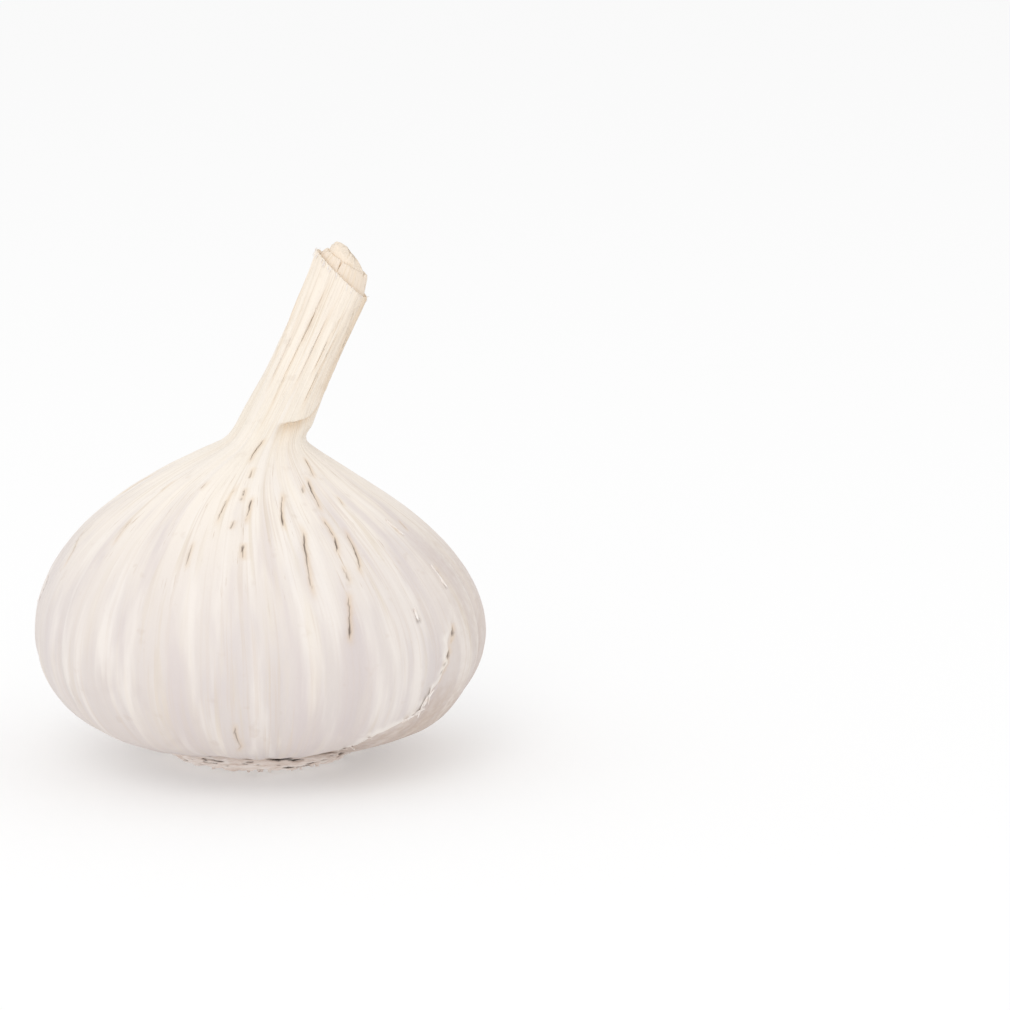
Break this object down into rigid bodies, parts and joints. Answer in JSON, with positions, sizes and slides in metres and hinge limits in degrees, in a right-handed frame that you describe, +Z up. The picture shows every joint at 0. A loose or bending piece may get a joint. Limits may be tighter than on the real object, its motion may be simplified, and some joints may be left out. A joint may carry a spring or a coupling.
{
  "type": "garlic bulb",
  "caption": "Whole cured garlic bulb in its white paper wrapper, squat and ribbed by the cloves under it, on its root plate, with a trimmed stalk leaning to one side.",
  "frame": {"origin": "centre of the small flat spot under the root plate that the bulb rests on, on the axis of the head", "axes": "+Z up through the head; the stalk leans towards +X in the XZ plane; -Y is the side shown by default"},
  "size_m": [0.0604, 0.0602, 0.0703],
  "materials": {
    "wrapper_leaf": "dry papery leaf, off-white with cream and mauve streaks, satin",
    "sheath_leaf": "dry leaf sheath, cream, lightly fibrous, matt",
    "stalk_core": "dry pithy core, pale cream, ragged cut end, matt",
    "root_plate": "dry corky plate, pinkish tan to brown, flaky, matt"
  },
  "bodies": {
    "root": {"wrapped_bulb": "wrapper_leaf", "inner_sheath": "sheath_leaf", "stalk_core": "stalk_core", "root_plate": "root_plate"}
  },
  "joints": []
}
